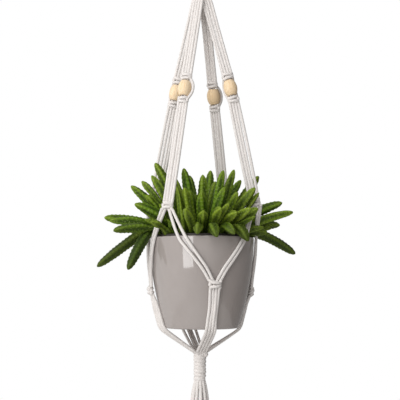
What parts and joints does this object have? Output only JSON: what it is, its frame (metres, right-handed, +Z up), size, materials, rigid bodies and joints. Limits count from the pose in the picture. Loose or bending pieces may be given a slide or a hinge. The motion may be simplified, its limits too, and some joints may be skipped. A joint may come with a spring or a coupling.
{
  "type": "hanging macrame planter",
  "caption": "Knotted cotton cord hanger with wooden beads on its arms, a ring to hang it by and a tassel, holding a taupe cover pot with a leafless succulent.",
  "frame": {"origin": "where a hook bears, at the top of the hanging ring's eye", "axes": "+Z up, -Y towards the front, where one net knot stands a little right of the middle"},
  "size_m": [0.2615, 0.1893, 0.785],
  "materials": {
    "cotton_cord": "twisted natural cotton, matt",
    "bead_wood": "pale turned wood, satin",
    "ring_wood": "pale turned wood, satin",
    "taupe_glaze": "glossy taupe glaze",
    "liner_plastic": "dark moulded plastic",
    "potting_mix": "dark crumbly mix",
    "succulent": "waxy mid green skin with pale dots"
  },
  "bodies": {
    "ring": {"hanging_ring": "ring_wood"},
    "ring_loops": {"ring_loops": "cotton_cord"},
    "hanger": {"crown_bundle": "cotton_cord", "crown_wrap": "cotton_cord", "front_left_upper_cords": "cotton_cord", "front_left_upper_knot": "cotton_cord", "front_left_bead_cords": "cotton_cord", "front_left_lower_knot": "cotton_cord", "front_left_lower_cords": "cotton_cord", "front_left_split_knot": "cotton_cord", "front_right_upper_cords": "cotton_cord", "front_right_upper_knot": "cotton_cord", "front_right_bead_cords": "cotton_cord", "front_right_lower_knot": "cotton_cord", "front_right_lower_cords": "cotton_cord", "front_right_split_knot": "cotton_cord", "back_right_upper_cords": "cotton_cord", "back_right_upper_knot": "cotton_cord", "back_right_bead_cords": "cotton_cord", "back_right_lower_knot": "cotton_cord", "back_right_lower_cords": "cotton_cord", "back_right_split_knot": "cotton_cord", "back_left_upper_cords": "cotton_cord", "back_left_upper_knot": "cotton_cord", "back_left_bead_cords": "cotton_cord", "back_left_lower_knot": "cotton_cord", "back_left_lower_cords": "cotton_cord", "back_left_split_knot": "cotton_cord", "net_front_left_to_left": "cotton_cord", "net_front_left_to_front": "cotton_cord", "net_front_right_to_front": "cotton_cord", "net_front_right_to_right": "cotton_cord", "net_back_right_to_right": "cotton_cord", "net_back_right_to_back": "cotton_cord", "net_back_left_to_back": "cotton_cord", "net_back_left_to_left": "cotton_cord", "front_knot": "cotton_cord", "right_knot": "cotton_cord", "back_knot": "cotton_cord", "left_knot": "cotton_cord", "front_cradle_cords": "cotton_cord", "right_cradle_cords": "cotton_cord", "back_cradle_cords": "cotton_cord", "left_cradle_cords": "cotton_cord", "gathering_bundle": "cotton_cord", "gathering_wrap": "cotton_cord"},
    "front_left_bead": {"front_left_bead": "bead_wood"},
    "front_right_bead": {"front_right_bead": "bead_wood"},
    "back_right_bead": {"back_right_bead": "bead_wood"},
    "back_left_bead": {"back_left_bead": "bead_wood"},
    "tassel": {"tassel_front": "cotton_cord", "tassel_back": "cotton_cord"},
    "cover_pot": {"cover_pot": "taupe_glaze"},
    "grow_pot": {"grow_pot": "liner_plastic", "potting_mix": "potting_mix", "left_stems": "succulent", "front_stems": "succulent", "right_stems": "succulent", "back_stems": "succulent"}
  },
  "joints": [
    {"name": "loops_slide", "type": "hinge", "parent": "ring", "child": "ring_loops", "pos_m": [0, 0, -0.0185], "axis": [0, 1, 0], "range_deg": [-25, 25]},
    {"name": "hanger_swing", "type": "hinge", "parent": "ring_loops", "child": "hanger", "pos_m": [0, 0, -0.052], "axis": [1, 0, 0], "range_deg": [-20, 20]},
    {"name": "front_left_bead_spin", "type": "hinge", "parent": "hanger", "child": "front_left_bead", "pos_m": [-0.02208, -0.02452, -0.231], "axis": [0.1353, 0.1503, 0.9793], "continuous": true},
    {"name": "front_right_bead_spin", "type": "hinge", "parent": "hanger", "child": "front_right_bead", "pos_m": [0.03761, -0.00868, -0.227], "axis": [-0.2244, 0.0518, 0.9731], "continuous": true},
    {"name": "back_right_bead_spin", "type": "hinge", "parent": "hanger", "child": "back_right_bead", "pos_m": [0.016, 0.02886, -0.231], "axis": [-0.101, -0.1822, 0.9781], "continuous": true},
    {"name": "back_left_bead_spin", "type": "hinge", "parent": "hanger", "child": "back_left_bead", "pos_m": [-0.03439, 0.01252, -0.229], "axis": [0.2049, -0.0746, 0.9759], "continuous": true},
    {"name": "tassel_swing", "type": "hinge", "parent": "hanger", "child": "tassel", "pos_m": [-0.0025, 0, -0.6065], "axis": [1, 0, 0], "range_deg": [-25, 25]},
    {"name": "pot_turn", "type": "hinge", "parent": "hanger", "child": "cover_pot", "pos_m": [0, 0, -0.539], "axis": [0, 0, 1], "range_deg": [-3, 3]},
    {"name": "liner_lift", "type": "slide", "parent": "cover_pot", "child": "grow_pot", "axis": [0, 0, 1], "range_m": [0, 0.006]}
  ]
}
